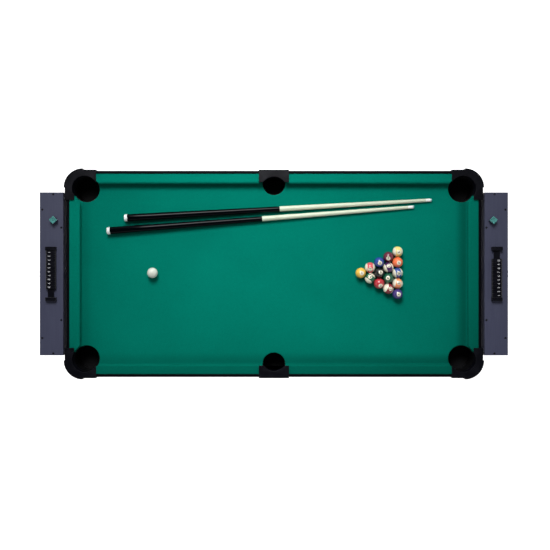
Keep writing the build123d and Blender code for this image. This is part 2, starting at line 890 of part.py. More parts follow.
for name in cue_butt_ends:
    write(cue_piece(name, 0, cue_bumper, dome=cue_bumper_dome), f"{name}_bumper")
    write(cue_piece(name, cue_bumper, cue_joint), f"{name}_butt")
    write(cue_piece(name, cue_joint, cue_length - cue_ferrule), f"{name}_shaft")
    write(cue_piece(name, cue_length - cue_ferrule, cue_length, dome=cue_tip_dome), f"{name}_tip")

for name, (x, y, turn) in chalks.items():
    write(chalk_cube(x, y, turn), name)
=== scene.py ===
import json
from math import cos, pi, radians, sin, sqrt

import bmesh
import bpy
from mathutils import Matrix, Vector


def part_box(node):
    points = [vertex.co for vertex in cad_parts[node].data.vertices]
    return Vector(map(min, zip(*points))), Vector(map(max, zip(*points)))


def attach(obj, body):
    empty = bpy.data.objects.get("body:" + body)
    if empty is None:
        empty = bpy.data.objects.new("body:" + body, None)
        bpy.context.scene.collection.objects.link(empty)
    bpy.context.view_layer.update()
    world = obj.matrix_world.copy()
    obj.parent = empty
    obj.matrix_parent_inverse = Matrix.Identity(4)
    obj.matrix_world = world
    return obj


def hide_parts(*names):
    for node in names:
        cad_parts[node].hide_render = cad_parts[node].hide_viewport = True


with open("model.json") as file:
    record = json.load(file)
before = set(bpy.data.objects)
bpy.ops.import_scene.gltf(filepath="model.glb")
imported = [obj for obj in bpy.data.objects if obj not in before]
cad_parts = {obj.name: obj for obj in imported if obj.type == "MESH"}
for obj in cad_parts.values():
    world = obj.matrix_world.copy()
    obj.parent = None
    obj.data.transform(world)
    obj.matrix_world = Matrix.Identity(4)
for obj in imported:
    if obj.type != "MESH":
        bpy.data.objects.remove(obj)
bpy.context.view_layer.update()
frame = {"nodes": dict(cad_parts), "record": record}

MM = 0.001
UP = Vector((0, 0, 1))
SHARP = radians(28)  # edges bent more than this are rounded and shaded sharp


# ------------------------------------------------------------------ node graphs


class Graph:
    """A Principled material, and short calls that add the nodes of its pattern."""

    def __init__(self, name, **sockets):
        self.material = bpy.data.materials.new(name)
        self.material.use_nodes = True
        self.tree = self.material.node_tree
        self.shader = self.tree.nodes["Principled BSDF"]
        for socket, value in sockets.items():
            self.shader.inputs[socket.replace("_", " ")].default_value = value
        place = self.tree.nodes.new("ShaderNodeTexCoord")
        self.place = place.outputs["Object"]

    def add(self, kind, values, output=0, **settings):
        """Adds a node; values maps an input's place or name to a number, colour or output."""
        node = self.tree.nodes.new("ShaderNode" + kind)
        for setting, value in settings.items():
            setattr(node, setting, value)
        for key, value in values.items():
            if isinstance(value, bpy.types.NodeSocket):
                self.tree.links.new(value, node.inputs[key])
            else:
                node.inputs[key].default_value = value
        return node.outputs[output]

    def math(self, operation, a, b=0.0):
        """One arithmetic step on numbers or outputs."""
        return self.add("Math", {0: a, 1: b}, operation=operation)

    def stretched(self, x, y, z):
        """The object's own coordinates in metres, multiplied along each axis."""
        return self.add("Mapping", {"Vector": self.place, "Scale": (x, y, z)})

    def noise(self, size, detail=3.0, roughness=0.55, place=None):
        """Noise from 0 to 1 whose blobs are about size metres across."""
        values = {"Scale": 1 / size, "Detail": detail, "Roughness": roughness}
        values["Vector"] = self.place if place is None else place
        return self.add("TexNoise", values)

    def split(self):
        """The object's own x, y and z in metres, as three outputs."""
        node = self.tree.nodes.new("ShaderNodeSeparateXYZ")
        self.tree.links.new(self.place, node.inputs[0])
        return node.outputs[0], node.outputs[1], node.outputs[2]

    def band(self, value, low, high):
        """0 below low, 1 above high, and a smooth step between; high may be the lower one."""
        values = {0: value, 1: low, 2: high}
        return self.add("MapRange", values, interpolation_type="SMOOTHSTEP")

    def ramp(self, value, low, high):
        """Maps value from 0..1 to low..high."""
        return self.add("MapRange", {0: value, 3: low, 4: high})

    def mix(self, factor, a, b):
        """Colour a where factor is 0, and colour b where it is 1."""
        a, b = ((*c, 1.0) if isinstance(c, tuple) else c for c in (a, b))
        return self.add("Mix", {0: factor, 6: a, 7: b}, output=2, data_type="RGBA")

    def colour(self, value):
        self.tree.links.new(value, self.shader.inputs["Base Color"])

    def roughness(self, value):
        self.tree.links.new(value, self.shader.inputs["Roughness"])

    def bump(self, height, distance, strength=1.0):
        """Raises the surface by height times distance, in metres."""
        values = {"Height": height, "Distance": distance, "Strength": strength}
        node = self.tree.nodes.new("ShaderNodeBump")
        for key, value in values.items():
            if isinstance(value, bpy.types.NodeSocket):
                self.tree.links.new(value, node.inputs[key])
            else:
                node.inputs[key].default_value = value
        self.tree.links.new(node.outputs[0], self.shader.inputs["Normal"])


def nose_line(node, axis):
    """How far from the table's middle the noses of a node's cushions are."""
    bm = welded(node)
    line = min(abs(vert.co[axis]) for vert in bm.verts)
    bm.free()
    return line


def nose_wear(g, x, y):
    """Painted shadow mask: 1 along the noses of the end cushions and the -Y cushions, and 0 away
    from them.
    """
    past_end = g.math("SUBTRACT", g.math("ABSOLUTE", x), nose_line("end_cushions", 0))
    past_side = g.math("SUBTRACT", g.math("MULTIPLY", y, -1.0), nose_line("long_cushions", 1))
    past = g.math("MAXIMUM", past_end, past_side)
    on_bed = g.band(past, -48 * MM, -9 * MM)
    on_rail = g.band(past, 8 * MM, -6 * MM)
    return g.math("MULTIPLY", on_bed, on_rail)


def cloth_material(name, dark, light, lean):
    """Napped green cloth: short fibres brushed along the table over a fine weave.

    It is painted with shade, darker towards +X and -Y, and with a painted shadow along the noses:
    lean is its painted shade at the middle, and how much that changes in a metre along x and along
    y.
    """
    g = Graph(name, Roughness=0.95, Specular_IOR_Level=0.02)
    fibres = g.noise(1.4 * MM, 4.0, 0.65, g.stretched(0.35, 1.0, 1.0))
    mottle = g.noise(9 * MM, 3.0)
    wear = g.noise(190 * MM, 2.0)
    x, y, _ = g.split()
    thread_pitch = 1.1 * MM
    warp = g.math("SINE", g.math("MULTIPLY", x, 2 * pi / thread_pitch))
    weft = g.math("SINE", g.math("MULTIPLY", y, 2 * pi / thread_pitch))
    weave = g.math("MULTIPLY", g.math("MULTIPLY", warp, weft), 0.12)
    tone = g.math("ADD", g.ramp(fibres, -0.10, 0.80), weave)
    tone = g.math("ADD", tone, g.ramp(mottle, -0.10, 0.20))
    tone = g.math("ADD", tone, g.ramp(wear, -0.12, 0.22))
    # painted shade: the cloth's colour falls off across the table the way the soft box's light
    # does
    middle, along_x, along_y = lean
    painted_shade = g.math("ADD", g.math("MULTIPLY", x, along_x), middle)
    painted_shade = g.math("ADD", g.math("MULTIPLY", y, along_y), painted_shade)
    # painted shadow along the cushion noses, deeper towards +X
    nose_shadow_depth = g.math("ADD", g.math("MULTIPLY", x, 0.17), 0.27)
    unshadowed = g.math("SUBTRACT", 1.0, g.math("MULTIPLY", nose_wear(g, x, y), nose_shadow_depth))
    painted_shade = g.math("MULTIPLY", painted_shade, unshadowed)
    g.colour(g.mix(painted_shade, (0.0, 0.0, 0.0), g.mix(tone, dark, light)))
    g.bump(g.math("ADD", fibres, weave), 0.25 * MM, 0.6)
    return g.material


def moulded_material(name, colour, roughness, grain=0.5, worn=1.6, shine=0.5):
    """Moulded plastic or rubber with a fine grain of so many mm and patches rubbed brighter."""
    g = Graph(name, Specular_IOR_Level=shine)
    pits = g.noise(grain * MM, 2.0)
    patches = g.noise(45 * MM, 4.0, 0.6)
    scratches = g.noise(2 * MM, 3.0, 0.6, g.stretched(0.06, 1.0, 1.0))
    brighter = tuple(min(1.0, c * worn + 0.002) for c in colour)
    g.colour(g.mix(g.band(patches, 0.42, 0.72), colour, brighter))
    dulled = g.ramp(patches, roughness - 0.09, roughness + 0.11)
    g.roughness(g.math("ADD", dulled, g.ramp(scratches, -0.04, 0.04)))
    g.bump(pits, 0.05 * MM, 0.45)
    return g.material


def laminate_material(name, dark, light, roughness, along, shine=0.5):
    """Printed laminate on board: long faint streaks along axis number along, and speckle."""
    g = Graph(name, Specular_IOR_Level=shine)
    squash = [1.0, 1.0, 1.0]
    squash[along] = 0.035
    streaks = g.noise(3.0 * MM, 5.0, 0.6, g.stretched(*squash))
    speckle = g.noise(0.9 * MM, 2.0, 0.7)
    clouds = g.noise(160 * MM, 3.0)
    tone = g.math("ADD", g.ramp(streaks, -0.15, 0.80), g.ramp(speckle, -0.12, 0.22))
    tone = g.math("ADD", tone, g.ramp(clouds, -0.10, 0.20))
    g.colour(g.mix(tone, dark, light))
    dulled = g.ramp(streaks, roughness - 0.06, roughness + 0.08)
    g.roughness(g.math("ADD", dulled, g.ramp(clouds, -0.04, 0.04)))
    g.bump(g.math("ADD", streaks, g.math("MULTIPLY", speckle, 0.3)), 0.08 * MM, 0.5)
    return g.material


def board_material(name):
    """Bare fibreboard: pale brown, short flecks."""
    g = Graph(name, Roughness=0.9)
    flecks = g.noise(1.2 * MM, 4.0, 0.7)
    patches = g.noise(30 * MM, 3.0)
    tone = g.math("ADD", g.ramp(flecks, -0.1, 0.8), g.ramp(patches, -0.15, 0.3))
    g.colour(g.mix(tone, (0.20, 0.13, 0.075), (0.42, 0.31, 0.20)))
    g.bump(flecks, 0.15 * MM, 0.6)
    return g.material


def metal_material(name, colour, roughness, spread=0.12):
    """Plated or blackened steel with a slightly cloudy finish and fine turning marks."""
    g = Graph(name, Metallic=1.0)
    cloud = g.noise(7 * MM, 4.0, 0.6)
    marks = g.noise(0.4 * MM, 2.0, 0.5, g.stretched(6.0, 1.0, 1.0))
    darker = tuple(c * 0.62 for c in colour)
    g.colour(g.mix(cloud, darker, colour))
    g.roughness(g.ramp(cloud, roughness - spread, roughness + spread))
    g.bump(marks, 0.02 * MM, 0.4)
    return g.material


def resin_material(name, colour, striped):
    """A polished ball about its own centre: number spots on local x, a band round local z."""
    g = Graph(name, Coat_Weight=0.35, Coat_Roughness=0.03)
    ivory = (0.70, 0.66, 0.52)
    aged = g.noise(14 * MM, 3.0)
    white = g.mix(aged, ivory, tuple(min(1.0, c * 1.09) for c in ivory))
    swirl = g.mix(aged, colour, tuple(min(1.0, c * 1.25 + 0.004) for c in colour))
    _, y, z = g.split()
    off_axis = g.math("SQRT", g.math("ADD", g.math("MULTIPLY", y, y), g.math("MULTIPLY", z, z)))
    soft = 0.12 * MM
    spot = g.band(off_axis, SPOT_RADIUS + soft, SPOT_RADIUS - soft)
    body = swirl
    if striped:
        height = g.math("ABSOLUTE", z)
        beyond = g.band(height, STRIPE_HALF - soft, STRIPE_HALF + soft)
        body = g.mix(beyond, swirl, white)
    g.colour(g.mix(spot, body, white))
    haze = g.noise(5 * MM, 5.0, 0.7)
    g.roughness(g.ramp(haze, 0.05, 0.16))
    return g.material


def cue_ball_material(name):
    """A polished ivory-white ball with faint clouds and smudges."""
    g = Graph(name, Coat_Weight=0.3, Coat_Roughness=0.04)
    aged = g.noise(16 * MM, 4.0)
    smudges = g.noise(6 * MM, 4.0, 0.65)
    g.colour(g.mix(aged, (0.56, 0.58, 0.51), (0.62, 0.645, 0.57)))
    g.roughness(g.ramp(smudges, 0.08, 0.26))
    return g.material


def ink_material(name, colour):
    """Printed figures, a little uneven in the ink."""
    g = Graph(name)
    blot = g.noise(0.8 * MM, 3.0)
    g.colour(g.mix(blot, tuple(c * 0.85 for c in colour), colour))
    g.roughness(g.ramp(blot, 0.28, 0.42))
    return g.material


def maple_material(name):
    """Pale lacquered maple, its grain along the cue's own z axis."""
    g = Graph(name, Coat_Weight=0.15, Coat_Roughness=0.25, Specular_IOR_Level=0.25)
    grain = g.noise(1.6 * MM, 5.0, 0.6, g.stretched(1.0, 1.0, 0.018))
    pores = g.noise(0.5 * MM, 2.0, 0.6, g.stretched(1.0, 1.0, 0.06))
    wander = g.noise(60 * MM, 2.0, 0.5, g.stretched(1.0, 1.0, 0.3))
    tone = g.math("ADD", g.ramp(grain, -0.1, 0.75), g.ramp(wander, -0.2, 0.4))
    plain = g.mix(tone, (0.50, 0.54, 0.40), (0.66, 0.75, 0.60))
    g.colour(g.mix(g.band(pores, 0.60, 0.74), plain, (0.42, 0.31, 0.18)))
    g.roughness(g.ramp(grain, 0.30, 0.44))
    g.bump(grain, 0.03 * MM, 0.4)
    return g.material


def lacquer_material(name):
    """Gloss black lacquer with faint polishing swirls and specks of dust."""
    g = Graph(name, Specular_IOR_Level=0.07)
    swirl = g.noise(3 * MM, 5.0, 0.7)
    specks = g.noise(0.8 * MM, 2.0)
    g.colour(g.mix(g.band(specks, 0.66, 0.76), (0.0008, 0.0012, 0.0022), (0.006, 0.007, 0.010)))
    g.roughness(g.ramp(swirl, 0.04, 0.09))
    return g.material


def chalk_material(name, dark, light):
    """Pressed chalk or a chalked tip: powdery, pitted and rubbed pale in patches."""
    g = Graph(name, Roughness=1.0)
    powder = g.noise(0.7 * MM, 4.0, 0.7)
    patches = g.noise(5 * MM, 3.0)
    tone = g.math("ADD", g.ramp(powder, 0.0, 0.7), g.ramp(patches, -0.1, 0.35))
    g.colour(g.mix(tone, dark, light))
    g.bump(powder, 0.25 * MM, 0.8)
    return g.material


def label_material(name, top):
    """Navy paper round a chalk cube, then a white line along its top edge that is partly a painted
    highlight, then bare chalk up to height top.
    """
    g = Graph(name, Roughness=0.7)
    fibres = g.noise(0.6 * MM, 4.0, 0.7)
    below = g.math("SUBTRACT", top, g.split()[2])
    chalky = g.mix(fibres, (0.02, 0.15, 0.15), (0.05, 0.24, 0.23))
    white = g.mix(fibres, (0.45, 0.50, 0.52), (0.62, 0.66, 0.68))
    navy = g.mix(fibres, (0.004, 0.008, 0.030), (0.010, 0.018, 0.055))
    bare, line, soft = 3.5 * MM, 1.0 * MM, 0.1 * MM
    # the white line is the label's edge and partly a painted highlight along it
    upper = g.mix(g.band(below, bare - soft, bare + soft), chalky, white)
    g.colour(g.mix(g.band(below, bare + line - soft, bare + line + soft), upper, navy))
    g.bump(fibres, 0.08 * MM, 0.5)
    return g.material


def hockey_material(name):
    """A pale coated face printed with a red centre line, two blue lines and three rings."""
    g = Graph(name)
    x, y, _ = g.split()
    red = (0.50, 0.02, 0.02)
    blue = (0.02, 0.06, 0.40)
    blue_line, centre_radius = 0.31, 0.13
    goal_line, goal_radius = 0.7535, 0.17
    scuffs = g.noise(30 * MM, 5.0, 0.7)
    base = g.mix(scuffs, (0.66, 0.68, 0.70), (0.78, 0.80, 0.82))
    across = g.math("ABSOLUTE", x)

    def line(distance, half_width):
        """1 on a line where distance is zero."""
        gap = g.math("ABSOLUTE", distance)
        soft = 0.4 * MM
        return g.band(gap, half_width + soft, half_width - soft)

    def ring(centre, radius, half_width):
        """1 on the rings whose middles are on x, centre metres to either side."""
        dx = g.math("SUBTRACT", across, centre)
        reach = g.math("SQRT", g.math("ADD", g.math("MULTIPLY", dx, dx), g.math("MULTIPLY", y, y)))
        return line(g.math("SUBTRACT", reach, radius), half_width)

    printed = g.mix(line(g.math("SUBTRACT", across, blue_line), 5 * MM), base, blue)
    printed = g.mix(ring(0.0, centre_radius, 3 * MM), printed, blue)
    printed = g.mix(ring(goal_line, goal_radius, 3 * MM), printed, red)
    printed = g.mix(line(across, 4 * MM), printed, red)
    g.colour(printed)
    g.roughness(g.ramp(scuffs, 0.16, 0.34))
    return g.material


def floor_material(name):
    """A pale studio floor that glows a little, so that it stays near white under the table."""
    g = Graph(name, Roughness=0.85)
    dust = g.noise(0.5, 3.0)
    g.colour(g.mix(dust, (0.86, 0.86, 0.86), (0.90, 0.90, 0.90)))
    g.shader.inputs["Emission Color"].default_value = (1, 1, 1, 1)
    g.shader.inputs["Emission Strength"].default_value = 1.0
    return g.material


# ------------------------------------------------------------------ meshes


def finish_mesh(bm, name, materials, body, replaced, place=None):
    """Turns a bmesh into a piece that rides on a body in place of the replaced CAD nodes."""
    bmesh.ops.dissolve_degenerate(bm, dist=0.004 * MM, edges=bm.edges)
    bmesh.ops.recalc_face_normals(bm, faces=bm.faces)
    for edge in sharp_edges(bm):
        edge.smooth = False
    for face in bm.faces:
        face.smooth = True
    mesh = bpy.data.meshes.new(name)
    bm.to_mesh(mesh)
    bm.free()
    for material in materials:
        mesh.materials.append(material)
    piece = bpy.data.objects.new(name, mesh)
    bpy.context.scene.collection.objects.link(piece)
    if place is not None:
        piece.matrix_world = place
        bpy.context.view_layer.update()
    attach(piece, body)
    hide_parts(*replaced)
    return piece


def even_faces(piece):
    """Keeps flat faces evenly shaded right up to their rounded edges."""
    even = piece.modifiers.new("even_faces", "WEIGHTED_NORMAL")
    even.weight = 90
    even.keep_sharp = True


def welded(node):
    """The CAD node's mesh as a bmesh, its split corners joined and its flat faces whole."""
    bm = bmesh.new()
    bm.from_mesh(frame["nodes"][node].data)
    bmesh.ops.remove_doubles(bm, verts=bm.verts, dist=0.002 * MM)
    bmesh.ops.dissolve_limit(bm, angle_limit=radians(0.6), verts=bm.verts, edges=bm.edges)
    return bm


def islands(bm):
    """The separate solids of a bmesh, as lists of vertices."""
    left = set(bm.verts)
    found = []
    while left:
        stack = [left.pop()]
        group = []
        while stack:
            vert = stack.pop()
            group.append(vert)
            for edge in vert.link_edges:
                other = edge.other_vert(vert)
                if other in left:
                    left.remove(other)
                    stack.append(other)
        found.append(group)
    return found


def solid_boxes(node):
    """The lowest and highest corners of each separate solid of a CAD node."""
    bm = welded(node)
    boxes = []
    for group in islands(bm):
        points = [v.co for v in group]
        low = Vector([min(p[i] for p in points) for i in range(3)])
        high = Vector([max(p[i] for p in points) for i in range(3)])
        boxes.append((low, high))
    bm.free()
    return sorted(boxes, key=lambda box: tuple(round(c, 4) for c in box[0]))


def body_of(node):
    """The body that a CAD node rides on."""
    bodies = frame["record"]["behaviour"]["bodies"]
    return next(body for body, members in bodies.items() if node in members)


def sharp_edges(bm):
    """The edges of a bmesh that are rounded and shaded sharp."""
    return [e for e in bm.edges if len(e.link_faces) == 2 and e.calc_face_angle(0) > SHARP]


def round_edges(bm, edge, segments):
    """Rounds a bmesh's sharp edges by edge mm, or by less where there is no room for it."""
    bmesh.ops.bevel(
        bm,
        geom=sharp_edges(bm),
        offset=edge * MM,
        offset_type="OFFSET",
        segments=segments,
        profile=0.5,
        affect="EDGES",
        clamp_overlap=True,
    )


def dressed(node, material, edge=1.0, segments=2):
    """The CAD node's shape in the given material, in the node's place; edge 0 leaves it sharp."""
    bm = welded(node)
    if edge > 0:
        round_edges(bm, edge, segments)
    piece = finish_mesh(bm, node + "_body", [material], body_of(node), [node])
    even_faces(piece)
    return piece


def lathe(bm, profile, segments=48, material=0, place=Matrix.Identity(4)):
    """Turns (height, radius) points about z, moved by place; a radius of 0 closes an end."""
    rings = []
    for height, radius in profile:
        if radius == 0:
            rings.append([bm.verts.new(place @ Vector((0, 0, height)))])
            continue
        ring = []
        for step in range(segments):
            angle = 2 * pi * step / segments
            point = Vector((radius * cos(angle), radius * sin(angle), height))
            ring.append(bm.verts.new(place @ point))
        rings.append(ring)
    for lower, upper in zip(rings, rings[1:]):
        for step in range(segments):
            after = (step + 1) % segments
            corners = [lower[step % len(lower)], lower[after % len(lower)]]
            corners += [upper[after % len(upper)], upper[step % len(upper)]]
            unique = list(dict.fromkeys(corners))
            if len(unique) > 2:
                face = bm.faces.new(unique)
                face.material_index = material


def text_solid(words, height, thickness):
    """Figures as a flat solid in x and y, centred on the origin, from z 0 to thickness."""
    curve = bpy.data.curves.new("figures", "FONT")
    curve.body = words
    curve.size = height * 1.37  # the built-in font's figures are 0.70 of its size high
    curve.offset = height * 0.02  # swells them on both sides, up to the height asked for
    curve.extrude = thickness / 2
    curve.resolution_u = 6
    holder = bpy.data.objects.new("figures", curve)
    bpy.context.scene.collection.objects.link(holder)
    bpy.context.view_layer.update()
    seen = holder.evaluated_get(bpy.context.evaluated_depsgraph_get())
    mesh = bpy.data.meshes.new_from_object(seen)
    bm = bmesh.new()
    bm.from_mesh(mesh)
    bpy.data.objects.remove(holder)
    bpy.data.curves.remove(curve)
    bpy.data.meshes.remove(mesh)
    bmesh.ops.remove_doubles(bm, verts=bm.verts, dist=0.001 * MM)
    low = [min(v.co[i] for v in bm.verts) for i in range(3)]
    high = [max(v.co[i] for v in bm.verts) for i in range(3)]
    middle = Vector(((low[0] + high[0]) / 2, (low[1] + high[1]) / 2, low[2]))
    bmesh.ops.translate(bm, vec=-middle, verts=bm.verts)
    return bm


def join(bm, other, material):
    """Copies the bmesh other into bm with that material, and frees other."""
    copies = {vert: bm.verts.new(vert.co) for vert in other.verts}
    for face in other.faces:
        made = bm.faces.new([copies[vert] for vert in face.verts])
        made.material_index = material
    other.free()


# ------------------------------------------------------------------ materials

SLATE = ((0.040, 0.043, 0.082), (0.060, 0.066, 0.115))  # the consoles' laminate, dark and light
BLACK = ((0.0006, 0.0010, 0.0018), (0.0024, 0.0030, 0.0048))
RAIL_BLACK = ((0.005, 0.005, 0.007), (0.012, 0.012, 0.015))
BALL_RADIUS = (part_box("cue_ball")[1].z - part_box("cue_ball")[0].z) / 2
SPOT_RADIUS = 0.40 * BALL_RADIUS
STRIPE_HALF = 0.50 * BALL_RADIUS

# lean paints shade onto the cloth: the bed is a little darker towards -Y and +X
cloth = cloth_material(
    "bed_cloth", (0.0, 0.122, 0.088), (0.0002, 0.218, 0.155), lean=(0.92, -0.02, 0.15)
)
# painted shade, steeper than the bed's: the +Y cushion is painted bright, the -Y and +X cushions
# dark
cushion_cloth = cloth_material(
    "rail_cloth", (0.0, 0.130, 0.092), (0.0003, 0.240, 0.170), lean=(0.78, -0.11, 0.54)
)
cap_plastic = moulded_material("cap_plastic", (0.0012, 0.0014, 0.0034), 0.34, shine=0.22)
pocket_plastic = moulded_material("pocket_plastic", (0.0004, 0.0006, 0.0012), 0.6, shine=0.2)
foot_plastic = moulded_material("foot_plastic", (0.014, 0.014, 0.016), 0.5, grain=0.8)
knob_plastic = moulded_material("knob_plastic", (0.012, 0.012, 0.014), 0.45, grain=0.7)
bush_plastic = moulded_material("bush_plastic", (0.55, 0.55, 0.52), 0.45, worn=1.1)
pad_rubber = moulded_material("pad_rubber", (0.018, 0.018, 0.018), 0.8, grain=0.9)
scorer_plastic = moulded_material("scorer_plastic", (0.0016, 0.0018, 0.0045), 0.30, shine=0.3)
apron_laminate = laminate_material("apron_laminate", *BLACK, 0.40, 0, shine=0.06)
shelf_laminate = laminate_material("shelf_laminate", *SLATE, 0.46, 1)
panel_laminate = laminate_material("panel_laminate", *SLATE, 0.46, 2)
beam_laminate = laminate_material("beam_laminate", *SLATE, 0.46, 0)
rail_laminate = laminate_material("hockey_rail_laminate", *RAIL_BLACK, 0.25, 0)
raw_board = board_material("raw_board")
steel = metal_material("plated_steel", (0.58, 0.59, 0.60), 0.34)
black_steel = metal_material("black_steel", (0.035, 0.035, 0.04), 0.45)
hockey_face = hockey_material("hockey_face")
white_ink = ink_material("white_ink", (0.62, 0.63, 0.66))
black_ink = ink_material("black_ink", (0.012, 0.011, 0.012))
maple = maple_material("cue_maple")
lacquer = lacquer_material("cue_lacquer")
bumper_rubber = moulded_material("bumper_rubber", (0.72, 0.74, 0.73), 0.42, worn=1.1)
ferrule_white = moulded_material("ferrule_white", (0.78, 0.80, 0.76), 0.25, worn=1.08)
tip_leather = chalk_material("tip_leather", (0.20, 0.33, 0.36), (0.50, 0.66, 0.66))
chalk_worn = chalk_material("chalk_worn", (0.03, 0.20, 0.19), (0.10, 0.32, 0.30))


# ------------------------------------------------------------------ playing body


def pocket_edges(bm, high):
    """The edges of the cloth's top that run round a pocket; high is its box's upper corner."""
    edges = []
    for edge in bm.edges:
        if len(edge.link_faces) != 1:
            continue
        middle = (edge.verts[0].co + edge.verts[1].co) / 2
        inside = abs(middle.x) < high.x - 0.5 * MM and abs(middle.y) < high.y - 0.5 * MM
        if inside and abs(middle.z - high.z) < 0.1 * MM:
            edges.append(edge)
    return edges


def build_cloth():
    """The bed cloth: flat and tight, rolled over the board's edge into each pocket."""
    low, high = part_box("pool_cloth")
    openings = frame["record"]["physics"]["openings"]
    boxes = [o["box_m"] for o in openings if o["name"].endswith("pocket")]
    middles = [(Vector(box[0][:2]) + Vector(box[1][:2])) / 2 for box in boxes]
    bm = welded("pool_cloth")
    lower = [f for f in bm.faces if f.normal.z < 0.9]
    bmesh.ops.delete(bm, geom=lower, context="FACES")
    edges = pocket_edges(bm, high)
    roll = 3.0 * MM
    thickness = 0.8 * MM
    skirt = 8.0 * MM
    inward = {}  # from each vertex of the edge, level, to the middle of its pocket
    for vert in {vert for edge in edges for vert in edge.verts}:
        middle = min(middles, key=lambda point: (point - vert.co.xy).length)
        inward[vert] = (middle - vert.co.xy).normalized().to_3d()
        vert.co -= inward[vert] * (roll - thickness)
    steps = [radians(angle) for angle in range(15, 91, 15)]
    path = [(roll * sin(angle), roll * (1 - cos(angle))) for angle in steps] + [(roll, skirt)]
    forward, down = 0.0, 0.0
    for next_forward, next_down in path:
        sources = {vert: vert.co.copy() for edge in edges for vert in edge.verts}
        made = bmesh.ops.extrude_edge_only(bm, edges=edges)["geom"]
        edges = [g for g in made if isinstance(g, bmesh.types.BMEdge)]
        moved = [g for g in made if isinstance(g, bmesh.types.BMVert)]
        for vert in moved:
            source = min(sources, key=lambda old: (sources[old] - vert.co).length_squared)
            inward[vert] = inward[source]
        for vert in moved:
            vert.co += inward[vert] * (next_forward - forward) - UP * (next_down - down)
        forward, down = next_forward, next_down
    piece = finish_mesh(bm, "bed_cloth", [cloth], "playing_body", ["pool_cloth"])
    thick = piece.modifiers.new("thickness", "SOLIDIFY")
    thick.thickness = thickness
    thick.offset = -1


def build_cushions():
    """Cloth-covered rails: CAD's section with a rounded nose and soft back edge."""
    for node in ("long_cushions", "end_cushions"):
        piece = dressed(node, cushion_cloth, edge=2.2, segments=4)


# ------------------------------------------------------------------ balls

# number: where its spot leans, in x and y, and its stripe's axis in degrees seen from above
BALL_TURNS = {
    1: ((0.10, -0.05), 100),
    2: ((0.02, -0.17), 90),
    3: ((0.15, -0.44), 80),
    4: ((0.08, -0.02), 95),
    5: ((0.12, -0.13), 100),
    6: ((-0.21, 0.06), 85),
    7: ((-0.14, -0.31), 95),
    8: ((0.19, 0.10), 90),
    9: ((0.12, -0.14), 5),
    10: ((0.10, -0.10), 12),
    11: ((-0.05, -0.37), 2),
    12: ((-0.05, 0.35), 21),
    13: ((0.12, 0.13), -12),
    14: ((-0.10, 0.30), 54),
    15: ((0.32, 0.02), -22),
}
BALL_COLOURS = {
    1: (0.62, 0.38, 0.05),
    2: (0.012, 0.040, 0.22),
    3: (0.38, 0.024, 0.034),
    4: (0.035, 0.020, 0.14),
    5: (0.72, 0.14, 0.045),
    6: (0.004, 0.075, 0.038),
    7: (0.10, 0.006, 0.024),
    8: (0.006, 0.006, 0.007),
    9: (0.66, 0.52, 0.15),
    10: (0.015, 0.055, 0.24),
    11: (0.52, 0.075, 0.085),
    12: (0.060, 0.016, 0.085),
    13: (0.70, 0.24, 0.10),
    14: (0.006, 0.095, 0.050),
    15: (0.20, 0.012, 0.022),
}


def ball_centre(node):
    """The centre of a ball's CAD node."""
    low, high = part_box(node)
    return Vector(((low.x + high.x) / 2, (low.y + high.y) / 2, high.z - BALL_RADIUS))


def round_solid(bm, radius, cuts=12):
    """Fills an empty bmesh with a ball of even quads: a cube divided and pushed out round."""
    bmesh.ops.create_cube(bm, size=2.0)
    bmesh.ops.subdivide_edges(bm, edges=bm.edges[:], cuts=cuts, use_grid_fill=True)
    for vert in bm.verts:
        bent = Vector([sin(c * pi / 4) / cos(c * pi / 4) for c in vert.co])
        vert.co = bent.normalized() * radius


def wrap_figures(bm, words, side, height):
    """Prints words on the ball's spot at local x times side, as a thin shell on its surface."""
    figures = text_solid(words, height, 1.0)
    step = 1.2 * MM  # between the cuts that let the figures bend
    reach = int(BALL_RADIUS * 0.5 / step)
    proud, sunk = 0.04 * MM, 0.30 * MM
    for axis in (0, 1):
        for count in range(-reach, reach + 1):
            point = Vector((0, 0, 0))
            point[axis] = count * step
            normal = Vector((0, 0, 0))
            normal[axis] = 1
            geometry = figures.verts[:] + figures.edges[:] + figures.faces[:]
            bmesh.ops.bisect_plane(figures, geom=geometry, plane_co=point, plane_no=normal)
    bmesh.ops.remove_doubles(figures, verts=figures.verts, dist=0.01 * MM)
    bmesh.ops.triangulate(figures, faces=figures.faces)
    bmesh.ops.dissolve_degenerate(figures, dist=0.01 * MM, edges=figures.edges)
    for vert in figures.verts:
        u, v, high = vert.co
        outward = Vector((sqrt(BALL_RADIUS**2 - u * u - v * v) * side, u * side, v)).normalized()
        vert.co = outward * (BALL_RADIUS + (proud if high > 0.5 else -sunk))
    join(bm, figures, 1)


def build_ball(number, material):
    """An object ball with its figures, turned so that its spot leans as BALL_TURNS says."""
    node = f"ball_{number:02d}"
    lean, heading = BALL_TURNS[number]
    spot = Vector((*lean, sqrt(1 - lean[0] ** 2 - lean[1] ** 2)))
    axis = Vector((cos(radians(heading)), sin(radians(heading)), 0))
    axis = (axis - spot * axis.dot(spot)).normalized()
    across = axis.cross(spot)
    turn = Matrix((spot, across, axis)).transposed().to_4x4()
    bm = bmesh.new()
    round_solid(bm, BALL_RADIUS)
    for side in (1, -1):
        wrap_figures(bm, str(number), side, 0.46 * BALL_RADIUS)
    place = Matrix.Translation(ball_centre(node)) @ turn
    finish_mesh(bm, node + "_resin", [material, black_ink], node, [node], place)


